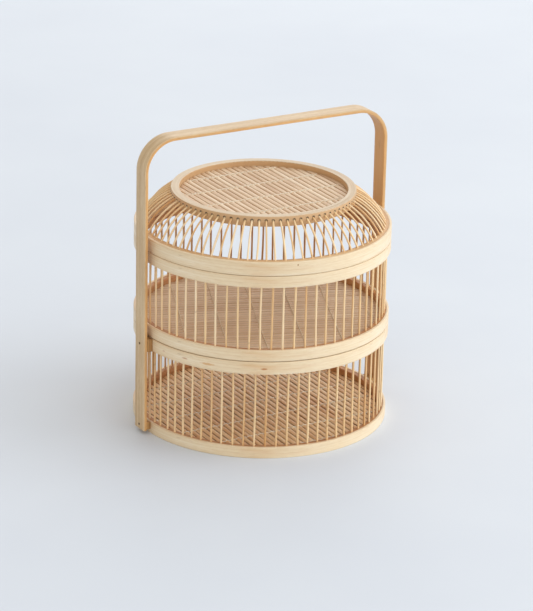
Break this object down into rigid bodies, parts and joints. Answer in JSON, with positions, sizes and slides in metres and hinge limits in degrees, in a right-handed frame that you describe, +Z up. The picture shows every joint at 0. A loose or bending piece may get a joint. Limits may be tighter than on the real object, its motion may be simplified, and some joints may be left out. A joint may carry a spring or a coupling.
{
  "type": "tiered carrier basket",
  "caption": "Round bamboo carrier basket: stacked spindle-walled tiers, a domed spindle lid with a flat mat panel, and a fixed bent-strip bail handle.",
  "frame": {"origin": "centre of the round foot, on the surface that the basket stands on", "axes": "+Z up; +X along the span of the handle; the tiers come out sideways along Y"},
  "size_m": [0.3114, 0.29, 0.3457],
  "materials": {
    "hoop_bamboo": "pale planed bamboo, satin, fine straight grain",
    "inner_hoop_bamboo": "toasted bamboo, satin",
    "handle_bamboo": "pale bamboo strip with golden cut edges, satin",
    "block_bamboo": "rough-cut bamboo block",
    "spindles": "round split bamboo rods, light lacquer",
    "slats": "round-topped split bamboo slats",
    "batten_bamboo": "flat split bamboo",
    "pins": "bamboo end grain",
    "thread": "undyed cotton",
    "nails": "darkened small nails"
  },
  "bodies": {
    "base_tier": {"lower_base_outer_hoop": "hoop_bamboo", "lower_base_inner_hoop": "inner_hoop_bamboo", "lower_spindles": "spindles", "lower_top_outer_hoop": "hoop_bamboo", "lower_top_inner_hoop": "inner_hoop_bamboo", "lower_hoop_pins": "pins", "lower_ledge": "inner_hoop_bamboo", "lower_battens": "batten_bamboo", "lower_slats": "slats", "lower_threads": "thread", "handle_strip": "handle_bamboo", "handle_spacer_blocks": "block_bamboo", "handle_nails": "nails"},
    "upper_tier": {"upper_base_outer_hoop": "hoop_bamboo", "upper_base_inner_hoop": "inner_hoop_bamboo", "upper_spindles": "spindles", "upper_top_outer_hoop": "hoop_bamboo", "upper_top_inner_hoop": "inner_hoop_bamboo", "upper_hoop_pins": "pins", "upper_ledge": "inner_hoop_bamboo", "upper_battens": "batten_bamboo", "upper_slats": "slats", "upper_threads": "thread"},
    "lid": {"lid_outer_hoop": "hoop_bamboo", "lid_inner_hoop": "inner_hoop_bamboo", "lid_spindles": "spindles", "lid_top_ring": "hoop_bamboo", "lid_hoop_pins": "pins", "lid_panel_ledge": "inner_hoop_bamboo", "lid_panel_battens": "batten_bamboo", "lid_panel_slats": "slats", "lid_panel_threads": "thread"}
  },
  "joints": [
    {"name": "upper_tier_lift", "type": "slide", "parent": "base_tier", "child": "upper_tier", "axis": [0, 0, 1], "range_m": [0, 0.03]},
    {"name": "lid_lift", "type": "slide", "parent": "upper_tier", "child": "lid", "axis": [0, 0, 1], "range_m": [0, 0.04]}
  ]
}
